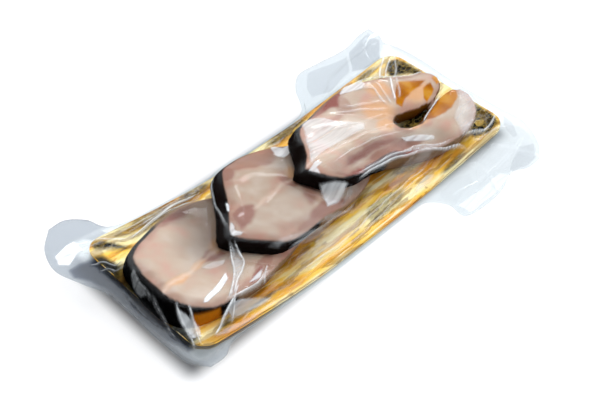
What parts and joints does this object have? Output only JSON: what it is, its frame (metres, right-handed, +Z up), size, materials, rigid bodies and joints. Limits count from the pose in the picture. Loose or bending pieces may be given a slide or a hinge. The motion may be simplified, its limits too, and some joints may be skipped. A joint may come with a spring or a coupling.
{
  "type": "vacuum-packed sliced fish",
  "caption": "Overlapping cross-cut slices of fish on a gold-faced card, sealed in a clear pouch whose flattened ends stand out past the card.",
  "frame": {"origin": "centre of the flat middle of the pouch's back, on which the pack rests", "axes": "+X along the card towards the last slice's belly, +Y across the card, +Z up"},
  "size_m": [0.2906, 0.1635, 0.0291],
  "materials": {
    "gold_card": "gold foil face",
    "fish": "moist cut flesh, dark skin",
    "film": "clear, creased"
  },
  "bodies": {
    "root": {"card": "gold_card", "slice_front": "fish", "slice_middle": "fish", "slice_rear": "fish", "pouch": "film"}
  },
  "joints": []
}
